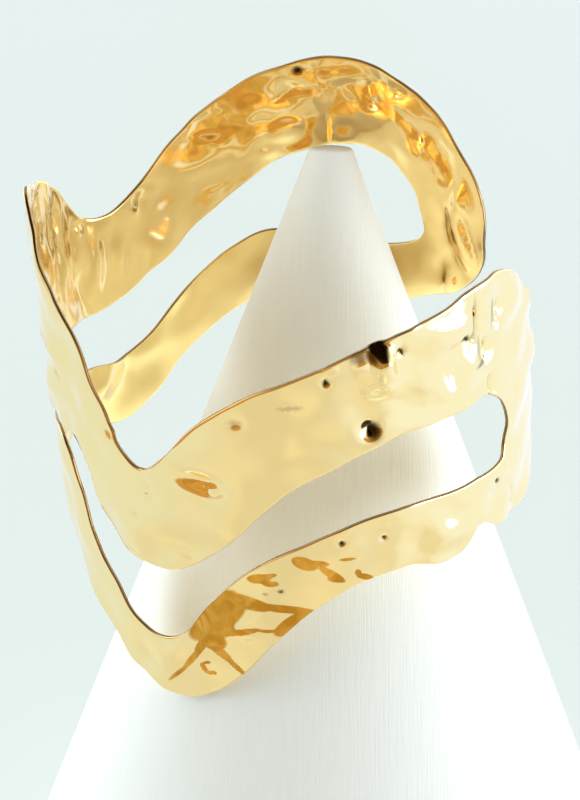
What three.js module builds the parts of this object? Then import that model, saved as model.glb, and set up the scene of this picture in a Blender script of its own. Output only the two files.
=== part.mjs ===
// A hammered gold cuff bracelet hanging on a plain white display cone.
// Millimetres, Z up. The cone's base centre is the origin; -Y faces the viewer of the photograph.
import * as THREE from 'three';

// ---- driving sizes ----
const coneHalfAngle = 21.2; // degrees between the cone's side and its axis
const sharpApexHeight = 130; // where the cone's straight sides would meet
const tipDrop = 7.4; // how far the blunt tip stays under that point
const tipRadius = 0.8; // roundness of the blunt tip's shoulder
const baseRound = 0.8; // rounding of the cone's foot
const coneSides = 96;
const tipSteps = 5;

const cuffWidth = 61.5; // across the sheet's middle surface, side to side
const cuffDepth = 53.9; // and front to back
const cuffHeight = 66.1; // lowest edge of the front wave to the top of the back wave
const sheet = 0.7; // thickness of the sheet
const seatGap = 0.3; // clearance where the cuff's inner face comes nearest to the cone
const forwardLean = 20.4; // degrees the cuff's top leans to the front
const sideLean = 3.6; // degrees it leans to the left
const endRound = 14; // how far from a free end its corners start to round off
const slotRound = 7; // the same at the slot's ends
const dentRadius = 3; // a usual dent
const dentDepth = 0.5;

// where the cuff's axis passes the cone's, as shares of the cuff's own sizes
const place = { toLeft: 0.1115, toFront: 0.4675, below: 0.925 };

// the sheet's two free ends: turn (share of a full turn), height of the end's nose (share of the
// cuff's height), and how much of the usual rounding it has above and below the nose
const freeEnds = {
  start: { turn: 0.0889, nose: 0.655, above: 1 * endRound, below: 1 * endRound },
  finish: { turn: 0.9861, nose: 0.488, above: 1.07 * endRound, below: 0.43 * endRound },
};
// the long slot's two ends, in the same terms
const slotEnds = {
  start: { turn: 0.1464, nose: 0.64, above: 1 * slotRound, below: 1 * slotRound },
  finish: { turn: 0.9231, nose: 0.503, above: 0.93 * slotRound, below: 0.29 * slotRound },
};

// one row per section round the cuff, heights as shares of the cuff's height:
// turn, upper band's top, upper band's bottom, lower band's top, lower band's bottom
const sections = [
  [0.0861, 0.908, 0.778, 0.579, 0.477], // back right, free end
  [0.1167, 0.910, 0.778, 0.579, 0.474],
  [0.1417, 0.940, 0.780, 0.577, 0.470],
  [0.1667, 0.966, 0.783, 0.577, 0.453],
  [0.2000, 0.996, 0.806, 0.579, 0.441], // top of the back wave
  [0.2333, 0.990, 0.789, 0.590, 0.438],
  [0.2639, 0.964, 0.754, 0.599, 0.442],
  [0.2944, 0.914, 0.686, 0.566, 0.421],
  [0.3278, 0.844, 0.622, 0.495, 0.352],
  [0.3611, 0.775, 0.563, 0.422, 0.282],
  [0.3917, 0.745, 0.536, 0.395, 0.249], // dip at the back left
  [0.4167, 0.771, 0.538, 0.414, 0.265],
  [0.4389, 0.861, 0.557, 0.431, 0.296],
  [0.4639, 0.921, 0.565, 0.447, 0.327],
  [0.4917, 0.952, 0.546, 0.463, 0.341],
  [0.5194, 0.985, 0.524, 0.478, 0.331], // peak at the left
  [0.5417, 0.929, 0.518, 0.490, 0.280],
  [0.5583, 0.871, 0.523, 0.484, 0.236],
  [0.5750, 0.834, 0.528, 0.407, 0.159],
  [0.5889, 0.798, 0.509, 0.308, 0.126],
  [0.6028, 0.743, 0.409, 0.249, 0.096],
  [0.6194, 0.646, 0.357, 0.192, 0.044],
  [0.6333, 0.572, 0.327, 0.156, 0.029],
  [0.6500, 0.543, 0.314, 0.141, 0.004], // bottom of the front wave
  [0.6694, 0.589, 0.323, 0.161, 0.004],
  [0.6889, 0.659, 0.355, 0.240, 0.031],
  [0.7111, 0.713, 0.419, 0.316, 0.094],
  [0.7333, 0.754, 0.491, 0.372, 0.178],
  [0.7583, 0.781, 0.552, 0.409, 0.249],
  [0.7889, 0.814, 0.592, 0.441, 0.301],
  [0.8250, 0.838, 0.626, 0.454, 0.313],
  [0.8667, 0.859, 0.625, 0.444, 0.291],
  [0.8861, 0.872, 0.622, 0.446, 0.334], // nick in the lower edge
  [0.9083, 0.872, 0.620, 0.441, 0.296],
  [0.9472, 0.862, 0.614, 0.440, 0.280],
  [0.9917, 0.850, 0.613, 0.439, 0.273], // front right, free end
];

// hammered dents, one row each: turn, height share, then radius and depth as shares of a usual
// dent's (a minus goes into the cuff)
const dents = [
  [0.804, 0.680, 0.73, -1.40], // the deep one on the front
  [0.823, 0.815, 0.80, 0.90], // dome under the upper edge, and the hollow beside it
  [0.801, 0.790, 0.73, -1.00],
  [0.839, 0.815, 0.53, -0.90],
  [0.780, 0.770, 0.60, -0.80],
  [0.670, 0.470, 1.20, -0.90], // long hollow low on the left of the front
  [0.630, 0.430, 1.50, 0.80],
  [0.890, 0.780, 1.00, -0.90],
  [0.913, 0.720, 0.87, 0.70],
  [0.672, 0.060, 1.13, -1.10], // lower band, round its lowest point
  [0.705, 0.190, 1.07, -0.90],
  [0.760, 0.330, 0.87, -0.70],
  [0.806, 0.360, 0.93, -0.70],
  [0.870, 0.370, 1.07, 0.70],
  [0.933, 0.350, 1.00, -0.80],
  [0.518, 0.560, 1.67, -1.10], // left side
  [0.545, 0.700, 2.00, 0.80],
  [0.495, 0.800, 1.00, -1.00], // folds of the left peak
  [0.470, 0.740, 0.80, 1.10],
  [0.445, 0.700, 0.87, -0.90],
  [0.330, 0.765, 1.33, 1.20], // back band, seen from inside
  [0.292, 0.830, 0.87, 1.00],
  [0.262, 0.860, 1.40, 1.20],
  [0.235, 0.930, 1.00, -0.90],
  [0.206, 0.900, 0.80, 0.90],
  [0.180, 0.880, 0.87, -0.90],
  [0.150, 0.840, 1.00, 1.00],
  [0.125, 0.720, 1.13, -0.90],
  [0.130, 0.560, 1.20, 0.80],
  [0.345, 0.400, 1.67, 0.70],
  [0.290, 0.500, 1.33, -0.60],
];

// how finely the sheet is cut into faces
const columnSpacing = 1.7; // mm along the cuff
const bandRows = 6; // rows of faces across each band
const roundSteps = 5; // columns used to round an end
const firstRound = 0.18; // share of the rounding arc where the sheet starts
const probeTurn = 0.0008; // steps used to find which way the sheet faces
const probeHeight = 0.004;

const radians = THREE.MathUtils.degToRad;
const halfWidth = cuffWidth / 2;
const halfDepth = cuffDepth / 2;
const coneSlope = Math.tan(radians(coneHalfAngle));

// ---- the cuff's own axes in the frame ----
const cuffUp = new THREE.Vector3(
  -Math.sin(radians(sideLean)),
  -Math.cos(radians(sideLean)) * Math.sin(radians(forwardLean)),
  Math.cos(radians(sideLean)) * Math.cos(radians(forwardLean)),
);
const cuffSide = new THREE.Vector3(1, 0, 0).addScaledVector(cuffUp, -cuffUp.x).normalize();
const cuffBack = new THREE.Vector3().crossVectors(cuffUp, cuffSide);

function blendRow(turn, column) {
  // smooth curve through the section rows, with each row's slope taken from its neighbours
  const last = sections.length - 1;
  const t = THREE.MathUtils.clamp(turn, sections[0][0], sections[last][0]);
  let i = 0;
  while (i < last - 1 && sections[i + 1][0] <= t) {
    i += 1;
  }
  const slope = (j) => {
    const a = sections[Math.max(j - 1, 0)];
    const b = sections[Math.min(j + 1, last)];
    return (b[column] - a[column]) / (b[0] - a[0]);
  };
  const from = sections[i];
  const to = sections[i + 1];
  const span = to[0] - from[0];
  const s = (t - from[0]) / span;
  const r = 1 - s;
  return from[column] * (1 + 2 * s) * r * r
    + slope(i) * span * s * r * r
    + to[column] * s * s * (3 - 2 * s)
    - slope(i + 1) * span * s * s * r;
}

function pathLength(turnA, turnB) {
  // millimetres along the oval between two turns that lie close together
  const middle = Math.PI * (turnA + turnB);
  const speed = Math.hypot(halfWidth * Math.sin(middle), halfDepth * Math.cos(middle));
  return Math.abs(turnB - turnA) * 2 * Math.PI * speed;
}

function roundOff(distance, length) {
  // 0 at an end, 1 once the rounding is over, a quarter ellipse between
  const s = THREE.MathUtils.clamp(1 - distance / length, 0, 1);
  return Math.sqrt(1 - s * s);
}

function pinched(turn, height, ends, side) {
  // pulls an edge's height to the nose of the nearer end
  const end = turn < 0.5 ? ends.start : ends.finish;
  const share = roundOff(pathLength(turn, end.turn), end[side]);
  return end.nose + (height - end.nose) * share;
}

function slotIsOpen(turn) {
  return turn > slotEnds.start.turn && turn < slotEnds.finish.turn;
}

function seamHeight(turn) {
  // where the two bands join beyond the slot: a straight run from the slot's nose to the end's nose
  const slotEnd = turn < 0.5 ? slotEnds.start : slotEnds.finish;
  const freeEnd = turn < 0.5 ? freeEnds.start : freeEnds.finish;
  const s = (turn - slotEnd.turn) / (freeEnd.turn - slotEnd.turn);
  return THREE.MathUtils.lerp(slotEnd.nose, freeEnd.nose, THREE.MathUtils.clamp(s, 0, 1));
}

function edgeHeights(turn) {
  const open = slotIsOpen(turn);
  const seam = seamHeight(turn);
  return {
    upperTop: pinched(turn, blendRow(turn, 1), freeEnds, 'above'),
    upperBottom: open ? pinched(turn, blendRow(turn, 2), slotEnds, 'above') : seam,
    lowerTop: open ? pinched(turn, blendRow(turn, 3), slotEnds, 'below') : seam,
    lowerBottom: pinched(turn, blendRow(turn, 4), freeEnds, 'below'),
  };
}

function dentedBy(turn, height) {
  // sum of round bells, one for each dent
  let depth = 0;
  for (const [dentTurn, dentHeight, radiusShare, depthShare] of dents) {
    const radius = radiusShare * dentRadius;
    const along = pathLength(turn, dentTurn) / radius;
    const across = (height - dentHeight) * cuffHeight / radius;
    depth += depthShare * dentDepth * Math.exp(-along * along - across * across);
  }
  return depth;
}

function wallPoint(turn, height) {
  // a point of the sheet's middle surface
  const angle = turn * 2 * Math.PI;
  const out = new THREE.Vector2(Math.cos(angle) / halfWidth, Math.sin(angle) / halfDepth).normalize();
  const depth = dentedBy(turn, height);
  const side = halfWidth * Math.cos(angle) + out.x * depth - place.toLeft * cuffWidth;
  const back = halfDepth * Math.sin(angle) + out.y * depth - place.toFront * cuffDepth;
  return new THREE.Vector3(0, 0, sharpApexHeight)
    .addScaledVector(cuffSide, side)
    .addScaledVector(cuffBack, back)
    .addScaledVector(cuffUp, (height - place.below) * cuffHeight);
}

function wallFacing(turn, height) {
  // outward direction of the sheet
  const along = wallPoint(turn + probeTurn, height).sub(wallPoint(turn - probeTurn, height));
  const across = wallPoint(turn, height + probeHeight).sub(wallPoint(turn, height - probeHeight));
  return along.cross(across).normalize();
}

function turnAtDistance(turn, distance) {
  // the turn a given number of millimetres further along the oval, minus for back along it
  const speed = pathLength(turn, turn + probeTurn) / probeTurn;
  const guess = turn + distance / speed;
  const middleSpeed = pathLength(turn, guess) / Math.abs(guess - turn);
  return turn + distance / middleSpeed;
}

function roundingTurns(turn, length, direction, first) {
  // columns that close up towards an end, so that its rounding reads as an arc
  const turns = [];
  for (let i = 0; i <= roundSteps; i += 1) {
    const arc = (first + (1 - first) * (i / roundSteps)) * Math.PI / 2;
    const distance = length * (1 - Math.cos(arc));
    turns.push(distance === 0 ? turn : turnAtDistance(turn, direction * distance));
  }
  return turns;
}

function columnTurns() {
  const { start, finish } = freeEnds;
  const marks = [
    ...roundingTurns(start.turn, start.above, 1, firstRound),
    ...roundingTurns(finish.turn, finish.below, -1, firstRound),
    ...roundingTurns(slotEnds.start.turn, slotEnds.start.above, 1, 0),
    ...roundingTurns(slotEnds.finish.turn, slotEnds.finish.above, -1, 0),
  ].sort((a, b) => a - b);
  const turns = [];
  for (let i = 0; i < marks.length - 1; i += 1) {
    const gap = marks[i + 1] - marks[i];
    const steps = Math.max(1, Math.round(pathLength(marks[i], marks[i + 1]) / columnSpacing));
    for (let j = 0; j < steps; j += 1) {
      turns.push(marks[i] + gap * j / steps);
    }
  }
  turns.push(marks[marks.length - 1]);
  return turns;
}

function seatLift(points) {
  // how far the cuff must rise for its tightest point to clear the cone's side by the seat gap
  const clearance = seatGap / Math.cos(radians(coneHalfAngle));
  let lift = -Infinity;
  for (let i = 0; i < points.length; i += 3) {
    const radius = Math.hypot(points[i], points[i + 1]) - clearance;
    lift = Math.max(lift, sharpApexHeight - points[i + 2] - radius / coneSlope);
  }
  return lift;
}

function meshFrom(points, faces, name, material) {
  const geometry = new THREE.BufferGeometry();
  geometry.setAttribute('position', new THREE.Float32BufferAttribute(points, 3));
  geometry.setIndex(faces);
  geometry.computeVertexNormals();
  const mesh = new THREE.Mesh(geometry, material);
  mesh.name = name;
  return mesh;
}

function cuff() {
  const points = [];
  const faces = [];
  const quad = (a, b, c, d) => faces.push(a, b, c, a, c, d);
  const addPoint = (turn, height) => {
    // one point on the sheet's outer face, then one on its inner face
    const middle = wallPoint(turn, height);
    const facing = wallFacing(turn, height);
    const outer = middle.clone().addScaledVector(facing, sheet / 2);
    const inner = middle.clone().addScaledVector(facing, -sheet / 2);
    points.push(outer.x, outer.y, outer.z, inner.x, inner.y, inner.z);
    return points.length / 3 - 2;
  };
  const columns = columnTurns().map((turn) => {
    const edges = edgeHeights(turn);
    const upper = [];
    const lower = [];
    for (let row = 0; row <= bandRows; row += 1) {
      const share = row / bandRows;
      upper.push(addPoint(turn, THREE.MathUtils.lerp(edges.upperTop, edges.upperBottom, share)));
    }
    const open = slotIsOpen(turn);
    for (let row = 0; row <= bandRows; row += 1) {
      const share = row / bandRows;
      const height = THREE.MathUtils.lerp(edges.lowerTop, edges.lowerBottom, share);
      lower.push(row === 0 && !open ? upper[bandRows] : addPoint(turn, height));
    }
    return { open, upper, lower };
  });
  for (let i = 0; i < columns.length - 1; i += 1) {
    const here = columns[i];
    const next = columns[i + 1];
    for (const band of ['upper', 'lower']) {
      for (let row = 0; row < bandRows; row += 1) {
        const a = here[band][row];
        const b = here[band][row + 1];
        const c = next[band][row + 1];
        const d = next[band][row];
        quad(a, b, c, d); // outer face
        quad(a + 1, d + 1, c + 1, b + 1); // inner face
      }
    }
    quad(here.upper[0], next.upper[0], next.upper[0] + 1, here.upper[0] + 1);
    quad(here.lower[bandRows] + 1, next.lower[bandRows] + 1, next.lower[bandRows], here.lower[bandRows]);
    if (here.open || next.open) {
      quad(here.upper[bandRows] + 1, next.upper[bandRows] + 1, next.upper[bandRows], here.upper[bandRows]);
      quad(here.lower[0], next.lower[0], next.lower[0] + 1, here.lower[0] + 1);
    }
  }
  const closeEnd = (column, flip) => {
    const rim = [...column.upper, ...column.lower.slice(1)];
    for (let i = 0; i < rim.length - 1; i += 1) {
      if (flip) {
        quad(rim[i], rim[i] + 1, rim[i + 1] + 1, rim[i + 1]);
      } else {
        quad(rim[i], rim[i + 1], rim[i + 1] + 1, rim[i] + 1);
      }
    }
  };
  closeEnd(columns[0], true);
  closeEnd(columns[columns.length - 1], false);
  const lift = seatLift(points);
  for (let i = 2; i < points.length; i += 3) {
    points[i] += lift;
  }
  const gold = new THREE.MeshStandardMaterial({ color: 0xd9b45f, metalness: 1, roughness: 0.22 });
  return meshFrom(points, faces, 'cuff', gold);
}

function coneProfile() {
  // radius and height pairs from the foot's centre to the tip's centre
  const footRadius = (sharpApexHeight - baseRound) * coneSlope;
  const profile = [[footRadius - baseRound, 0], [footRadius, baseRound]];
  const top = sharpApexHeight - tipDrop;
  // the shoulder is an arc that touches both the side and the level top
  const centreHeight = top - tipRadius;
  const sideGap = tipRadius / Math.cos(radians(coneHalfAngle));
  const centreRadius = (sharpApexHeight - centreHeight) * coneSlope - sideGap;
  for (let i = 0; i <= tipSteps; i += 1) {
    const lift = THREE.MathUtils.lerp(coneHalfAngle, 90, i / tipSteps);
    const radius = centreRadius + tipRadius * Math.cos(radians(lift));
    profile.push([radius, centreHeight + tipRadius * Math.sin(radians(lift))]);
  }
  return profile;
}

function coneStand() {
  const profile = coneProfile();
  const points = [0, 0, 0];
  const faces = [];
  for (const [radius, height] of profile) {
    for (let i = 0; i < coneSides; i += 1) {
      const angle = i / coneSides * 2 * Math.PI;
      points.push(radius * Math.cos(angle), radius * Math.sin(angle), height);
    }
  }
  points.push(0, 0, profile[profile.length - 1][1]);
  const tip = points.length / 3 - 1;
  for (let i = 0; i < coneSides; i += 1) {
    const j = (i + 1) % coneSides;
    faces.push(0, 1 + j, 1 + i);
    for (let ring = 0; ring < profile.length - 1; ring += 1) {
      const low = 1 + ring * coneSides;
      const high = low + coneSides;
      faces.push(low + i, low + j, high + j, low + i, high + j, high + i);
    }
    const lastRing = 1 + (profile.length - 1) * coneSides;
    faces.push(lastRing + i, lastRing + j, tip);
  }
  const white = new THREE.MeshStandardMaterial({ color: 0xf1efe9, metalness: 0, roughness: 0.85 });
  return meshFrom(points, faces, 'cone_stand', white);
}

const group = new THREE.Group();
group.name = 'cuff_on_cone';
group.add(cuff(), coneStand());

export default group;
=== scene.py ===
import math

import bpy
import numpy as np
from mathutils import Matrix


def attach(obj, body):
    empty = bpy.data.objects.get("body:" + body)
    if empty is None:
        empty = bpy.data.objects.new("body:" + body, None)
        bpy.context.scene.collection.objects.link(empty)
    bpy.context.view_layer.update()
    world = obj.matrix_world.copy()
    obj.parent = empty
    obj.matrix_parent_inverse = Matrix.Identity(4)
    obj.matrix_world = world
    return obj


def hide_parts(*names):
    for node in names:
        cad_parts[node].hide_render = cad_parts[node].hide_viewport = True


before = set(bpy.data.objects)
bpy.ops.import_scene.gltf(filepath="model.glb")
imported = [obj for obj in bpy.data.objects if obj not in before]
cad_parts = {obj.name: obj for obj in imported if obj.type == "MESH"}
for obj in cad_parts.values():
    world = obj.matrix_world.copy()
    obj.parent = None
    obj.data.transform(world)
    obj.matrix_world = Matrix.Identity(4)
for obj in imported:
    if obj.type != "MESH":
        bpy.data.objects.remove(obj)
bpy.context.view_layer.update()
print("frame loaded", sorted(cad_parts))

mm = 0.001

# the camera, from the photo's own lines
viewpoint = {
    "place": (-5.2, -315.7, 172.71),  # mm
    "lookDown": 15.0,  # degrees under level
    "roll": -0.4,
    "lens": 108.0,
    "sensor": 36.0,
}


def addCamera(v):
    # axes of a camera that looks along +Y, tipped down, then rolled about its line of sight
    tip, roll = math.radians(v["lookDown"]), math.radians(v["roll"])
    ahead = np.array([0, math.cos(tip), -math.sin(tip)])
    level = np.array([1.0, 0, 0])
    above = np.array([0, math.sin(tip), math.cos(tip)])
    right = level * math.cos(roll) - above * math.sin(roll)
    up = level * math.sin(roll) + above * math.cos(roll)
    data = bpy.data.cameras.new("photoCamera")
    data.lens, data.sensor_width = v["lens"], v["sensor"]
    data.clip_start, data.clip_end = 0.01, 60
    camera = bpy.data.objects.new("photoCamera", data)
    bpy.context.scene.collection.objects.link(camera)
    place = np.array(v["place"]) * mm
    rows = [[right[i], up[i], -ahead[i], place[i]] for i in range(3)]
    camera.matrix_world = Matrix([*rows, [0, 0, 0, 1]])
    bpy.context.scene.camera = camera


addCamera(viewpoint)
print("camera placed")

# the hammered cuff
cuff = {
    "width": 61.5,  # mm, middle of the sheet, side to side
    "depth": 53.9,
    "height": 66.1,
    "sheet": 0.5,  # thickness
    "forwardLean": 20.4,  # degrees
    "sideLean": 3.6,
    "apex": 130.0,  # height the cuff's place is measured from
    "toLeft": 0.1115,  # shares of width, depth and height
    "toFront": 0.4675,
    "below": 0.925,
    "endRound": 14.0,
    "slotRound": 7.0,
    "frontStep": 0.28,  # mm between columns of the mesh, in front and behind
    "backStep": 0.45,
    "frontFrom": 0.57,  # turn where the finer columns start
    "bandRows": 42,
    "endColumns": 14,
    "rimSteps": 3,  # extra rows that round the sheet's edge
    # turn, nose height, rounding above and below the nose as shares of the usual one
    "freeStart": (0.0889, 0.655, 1.0, 1.0),
    "freeFinish": (0.9861, 0.488, 1.07, 0.43),
    "slotStart": (0.1464, 0.64, 1.0, 1.0),
    "slotFinish": (0.9231, 0.503, 0.93, 0.29),
    # turn, then heights: upper band's top and bottom, lower band's top and bottom
    "sections": [
        (0.0861, 0.908, 0.778, 0.579, 0.477),
        (0.1167, 0.910, 0.778, 0.579, 0.474),
        (0.1417, 0.940, 0.780, 0.577, 0.470),
        (0.1667, 0.966, 0.783, 0.577, 0.453),
        (0.2000, 0.996, 0.806, 0.579, 0.441),
        (0.2333, 0.990, 0.789, 0.590, 0.438),
        (0.2639, 0.964, 0.754, 0.599, 0.442),
        (0.2944, 0.914, 0.686, 0.566, 0.421),
        (0.3278, 0.844, 0.622, 0.495, 0.352),
        (0.3611, 0.775, 0.563, 0.422, 0.282),
        (0.3917, 0.745, 0.536, 0.395, 0.249),
        (0.4167, 0.771, 0.538, 0.414, 0.265),
        (0.4389, 0.861, 0.557, 0.431, 0.296),
        (0.4639, 0.921, 0.565, 0.447, 0.327),
        (0.4917, 0.952, 0.546, 0.463, 0.341),
        (0.5194, 0.985, 0.524, 0.478, 0.331),
        (0.5417, 0.929, 0.518, 0.490, 0.280),
        (0.5583, 0.871, 0.523, 0.484, 0.236),
        (0.5750, 0.834, 0.528, 0.407, 0.159),
        (0.5889, 0.798, 0.509, 0.308, 0.126),
        (0.6028, 0.743, 0.409, 0.249, 0.096),
        (0.6194, 0.646, 0.357, 0.192, 0.044),
        (0.6333, 0.572, 0.327, 0.156, 0.029),
        (0.6500, 0.543, 0.314, 0.141, 0.004),
        (0.6694, 0.589, 0.323, 0.161, 0.004),
        (0.6889, 0.659, 0.355, 0.240, 0.031),
        (0.7111, 0.713, 0.419, 0.316, 0.094),
        (0.7333, 0.754, 0.491, 0.372, 0.178),
        (0.7583, 0.781, 0.552, 0.409, 0.249),
        (0.7889, 0.814, 0.592, 0.441, 0.301),
        (0.8250, 0.838, 0.626, 0.454, 0.313),
        (0.8667, 0.859, 0.625, 0.444, 0.291),
        (0.8861, 0.872, 0.622, 0.446, 0.334),
        (0.9083, 0.872, 0.620, 0.441, 0.296),
        (0.9472, 0.862, 0.614, 0.440, 0.280),
        (0.9917, 0.850, 0.613, 0.439, 0.273),
    ],
    "waveSeed": 11,
    "waveLengths": (5.0, 9.0),  # mm, shortest and longest soft wave
    "waveDepth": 0.13,
    "rippleLengths": (1.6, 3.6),
    "rippleDepth": 0.03,
    "swellLengths": (9.0, 22.0),
    "swellDepth": 0.25,
    # how much of the waves and of the ripples shows: turn, waves, ripples
    "calm": [
        (0.08, 1.0, 0.4, 1.0), (0.20, 1.0, 0.5, 1.0), (0.30, 0.7, 0.3, 1.0), (0.36, 0.5, 0.1, 1.3),
        (0.42, 0.6, 0.3, 1.0), (0.50, 0.9, 0.8, 0.8), (0.55, 0.8, 0.3, 0.5), (0.62, 0.6, 0.1, 0.3),
        (0.76, 0.3, 0.05, 0.15), (0.80, 0.6, 0.2, 0.3), (0.84, 1.0, 0.4, 0.5), (0.99, 0.9, 0.4, 0.5),
    ],
    "lowerCalm": 0.25,  # share of the ripples left on the lower band behind
    # hammer marks: kind, turn, height share, half length and half width in mm,
    # angle in degrees from level, depth in mm (a minus goes into the cuff)
    # Some entries move nothing and only colour the sheet: near-black painted dark reflection in pits, along creases
    # and in the notch, and orange painted reflection of a brown table on the lower front band; for these the last
    # number is how strongly the colour is painted.
    "marks": [
        # front, upper band
        ("pit", 0.8030, 0.650, 1.60, 1.70, 0, -1.15),
        ("stain", 0.8055, 0.644, 1.05, 1.35, 0, 1.00),
        ("bell", 0.8006, 0.663, 2.80, 2.40, 0, -0.25),
        ("pit", 0.7764, 0.772, 0.80, 0.80, 0, -0.55),
        ("stain", 0.7767, 0.769, 0.52, 0.60, 0, 1.00),
        ("ring", 0.7793, 0.794, 0.75, 0.40, 0, 0.10),
        ("ring", 0.8094, 0.734, 1.40, 0.75, 0, 0.26),
        ("crease", 0.8185, 0.704, 1.61, 0.50, -18, -0.16),
        ("bell", 0.8150, 0.809, 1.30, 1.30, 0, 0.45),
        ("pit", 0.8251, 0.804, 0.90, 0.90, 0, -0.55),
        ("stain", 0.8257, 0.801, 0.52, 0.60, 0, 1.00),
        ("tilt", 0.8102, 0.819, 1.10, 1.70, 14, -1.30),
        ("tilt", 0.7982, 0.812, 1.02, 1.40, 15, -0.30),
        ("stain", 0.7982, 0.815, 1.35, 1.05, 0, 0.62),
        ("stain", 0.8072, 0.817, 0.85, 1.55, 0, 0.95),
        ("stain", 0.8125, 0.819, 0.85, 1.55, 0, 0.95),
        ("bell", 0.8204, 0.810, 0.90, 1.30, 0, 0.20),
        ("pit", 0.8763, 0.771, 0.90, 0.90, 0, -0.55),
        ("stain", 0.8772, 0.768, 0.55, 0.62, 0, 1.00),
        ("bell", 0.8691, 0.763, 1.70, 1.30, 0, -0.35),
        ("crease", 0.8842, 0.809, 1.99, 0.50, -86, -0.60),
        ("crease", 0.8824, 0.760, 1.56, 0.50, 73, -0.50),
        ("stain", 0.8836, 0.798, 0.30, 3.60, 0, 0.45),
        ("crease", 0.9094, 0.780, 1.95, 0.60, 76, -0.60),
        ("stain", 0.9022, 0.793, 0.30, 2.20, 0, 0.50),
        ("crease", 0.8950, 0.723, 1.79, 0.60, 83, -0.60),
        ("stain", 0.8906, 0.701, 1.30, 0.32, 0, 0.80),
        ("stain", 0.8877, 0.731, 0.28, 2.00, 0, 0.40),
        ("crease", 0.9019, 0.632, 1.99, 0.60, -88, -0.50),
        ("bell", 0.8530, 0.820, 1.40, 1.00, 0, 0.16),
        ("bell", 0.8645, 0.836, 3.00, 1.80, 0, -0.12),
        ("bell", 0.8436, 0.705, 3.76, 2.40, 11, -0.18),
        ("bell", 0.8575, 0.697, 2.67, 1.30, -88, 0.30),
        ("bell", 0.8410, 0.649, 2.34, 1.60, 14, 0.12),
        ("bell", 0.8634, 0.703, 1.40, 1.80, 0, -0.40),
        ("bell", 0.7203, 0.690, 1.00, 0.80, 0, -0.22),
        ("crease", 0.7543, 0.725, 1.26, 0.40, -24, -0.06),
        ("stain", 0.7542, 0.723, 1.60, 0.28, 0, 0.35),
        ("stain", 0.7203, 0.688, 0.80, 0.60, 0, 0.30),
        ("bell", 0.7313, 0.733, 0.70, 0.40, 0, -0.07),
        ("bell", 0.6922, 0.547, 2.74, 1.30, -13, -0.85),
        ("bell", 0.7009, 0.535, 0.75, 0.55, 0, 0.40),
        ("crease", 0.6540, 0.511, 2.70, 0.90, -70, -0.25),
        ("bell", 0.6514, 0.484, 0.50, 0.50, 0, 0.14),
        ("bell", 0.6383, 0.404, 3.41, 3.00, -52, 0.70),
        ("bell", 0.6071, 0.369, 3.20, 3.00, 0, -0.35),
        ("bell", 0.6778, 0.389, 4.00, 2.60, 0, -0.55),
        ("bell", 0.7051, 0.446, 3.00, 3.00, 0, 0.30),
        ("bell", 0.6358, 0.340, 0.60, 0.50, 0, -0.20),
        ("bell", 0.6252, 0.601, 0.80, 0.70, 0, -0.25),
        ("pit", 0.5659, 0.653, 0.60, 0.60, 0, -0.45),
        ("bell", 0.5453, 0.592, 1.60, 2.20, 0, 0.35),
        ("crease", 0.5468, 0.698, 4.07, 0.80, -3, 0.35),
        ("bell", 0.5873, 0.624, 2.00, 3.00, 0, -0.40),
        ("bell", 0.5566, 0.825, 2.60, 3.00, 0, 0.45),
        ("bell", 0.5847, 0.744, 2.20, 2.60, 0, -0.35),
        ("bell", 0.7774, 0.644, 3.60, 2.20, 0, -0.22),
        ("bell", 0.7458, 0.609, 4.50, 2.50, 0, 0.25),
        # front, lower band
        ("slope", 0.7003, 0.227, 6.99, 2.40, 44, -0.45),
        ("paintedTableReflection", 0.6962, 0.221, 5.91, 2.00, 45, 1.00),
        ("paintedTableReflection", 0.6974, 0.208, 2.30, 1.70, 0, 1.00),
        ("paintedTableReflection", 0.7178, 0.272, 3.32, 1.05, -9, 1.00),
        ("paintedTableReflection", 0.6991, 0.256, 3.34, 1.60, 49, 1.00),
        ("paintedTableReflection", 0.7142, 0.204, 2.35, 0.50, 17, 1.00),
        ("paintedTableReflection", 0.7298, 0.211, 2.04, 0.32, 2, 1.00),
        ("paintedTableReflection", 0.7425, 0.261, 4.31, 0.66, -12, 1.00),
        ("paintedTableReflection", 0.6632, 0.061, 3.08, 0.32, 50, 1.00),
        ("paintedTableReflection", 0.6759, 0.111, 3.11, 0.45, 56, 1.00),
        ("paintedTableReflection", 0.6826, 0.145, 2.04, 0.60, 61, 1.00),
        ("paintedTableReflection", 0.6970, 0.144, 2.15, 0.85, -46, 1.00),
        ("paintedTableReflection", 0.7054, 0.117, 2.32, 0.50, -47, 1.00),
        ("paintedTableReflection", 0.6914, 0.172, 2.20, 1.75, 0, 1.00),
        ("paintedTableReflection", 0.7467, 0.226, 3.07, 1.30, 34, 1.00),
        ("paintedTableReflection", 0.6834, 0.094, 0.84, 0.45, -65, 1.00),
        ("paintedTableReflection", 0.6860, 0.107, 0.59, 0.28, 15, 1.00),
        ("paintedTableReflection", 0.6882, 0.084, 0.97, 0.36, -1, 1.00),
        ("bell", 0.6879, 0.098, 0.50, 0.40, 0, 0.12),
        ("ring", 0.6996, 0.082, 0.30, 0.30, 0, 0.08),
        ("bell", 0.7162, 0.197, 1.60, 1.10, 0, 0.25),
        ("paintedTableReflection", 0.7265, 0.332, 1.71, 0.80, 14, 1.00),
        ("paintedTableReflection", 0.7326, 0.340, 1.32, 0.42, 16, 1.00),
        ("paintedTableReflection", 0.7341, 0.322, 1.13, 0.50, 5, 1.00),
        ("paintedTableReflection", 0.7565, 0.369, 1.86, 1.00, -30, 1.00),
        ("paintedTableReflection", 0.7651, 0.367, 1.50, 0.50, -13, 1.00),
        ("paintedTableReflection", 0.7734, 0.337, 2.23, 0.62, -44, 1.00),
        ("paintedTableReflection", 0.7760, 0.322, 1.31, 0.40, -20, 1.00),
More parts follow.
